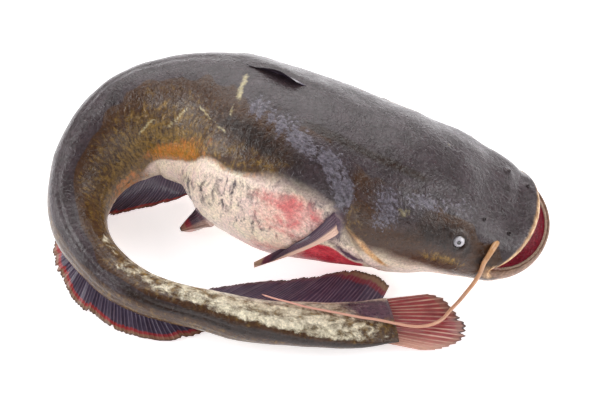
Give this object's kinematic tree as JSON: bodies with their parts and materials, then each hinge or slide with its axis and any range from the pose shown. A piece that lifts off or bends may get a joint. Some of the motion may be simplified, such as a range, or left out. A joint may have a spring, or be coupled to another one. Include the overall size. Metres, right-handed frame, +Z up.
{
  "type": "catfish",
  "caption": "Whole fresh wels catfish lying belly down and curled to its right, with barbels, fins and a slightly open mouth.",
  "frame": {"origin": "middle of the underside of the box that holds the whole fish, on the surface that it lies on", "axes": "+X the way the head points, +Y towards the outer side of the curl, behind the fish's back, +Z up"},
  "size_m": [0.3462, 0.216, 0.119],
  "materials": {
    "skin": "wet scaleless skin with a slime coat, dark grey brown back, olive flank, cream and pink belly",
    "fin_webbing": "wet purple grey webbing on fine rays, red band near a frayed grey brown edge",
    "red_fin": "wet blood red webbing on pale rays with dark frayed tips",
    "eye": "clear cornea over a pale grey ring and a small black pupil",
    "barbel": "wet orange tan skin, paler towards the tip"
  },
  "bodies": {
    "root": {"body": "skin", "dorsal_fin": "fin_webbing", "anal_fin": "fin_webbing", "caudal_fin": "red_fin", "pectoral_fin_right": "red_fin", "pectoral_fin_left": "red_fin", "pelvic_fin_right": "red_fin", "pelvic_fin_left": "red_fin", "eye_right": "eye", "eye_left": "eye", "maxillary_barbel_right": "barbel", "maxillary_barbel_left": "barbel", "mandibular_barbel_inner_right": "barbel", "mandibular_barbel_inner_left": "barbel", "mandibular_barbel_outer_right": "barbel", "mandibular_barbel_outer_left": "barbel"}
  },
  "joints": []
}
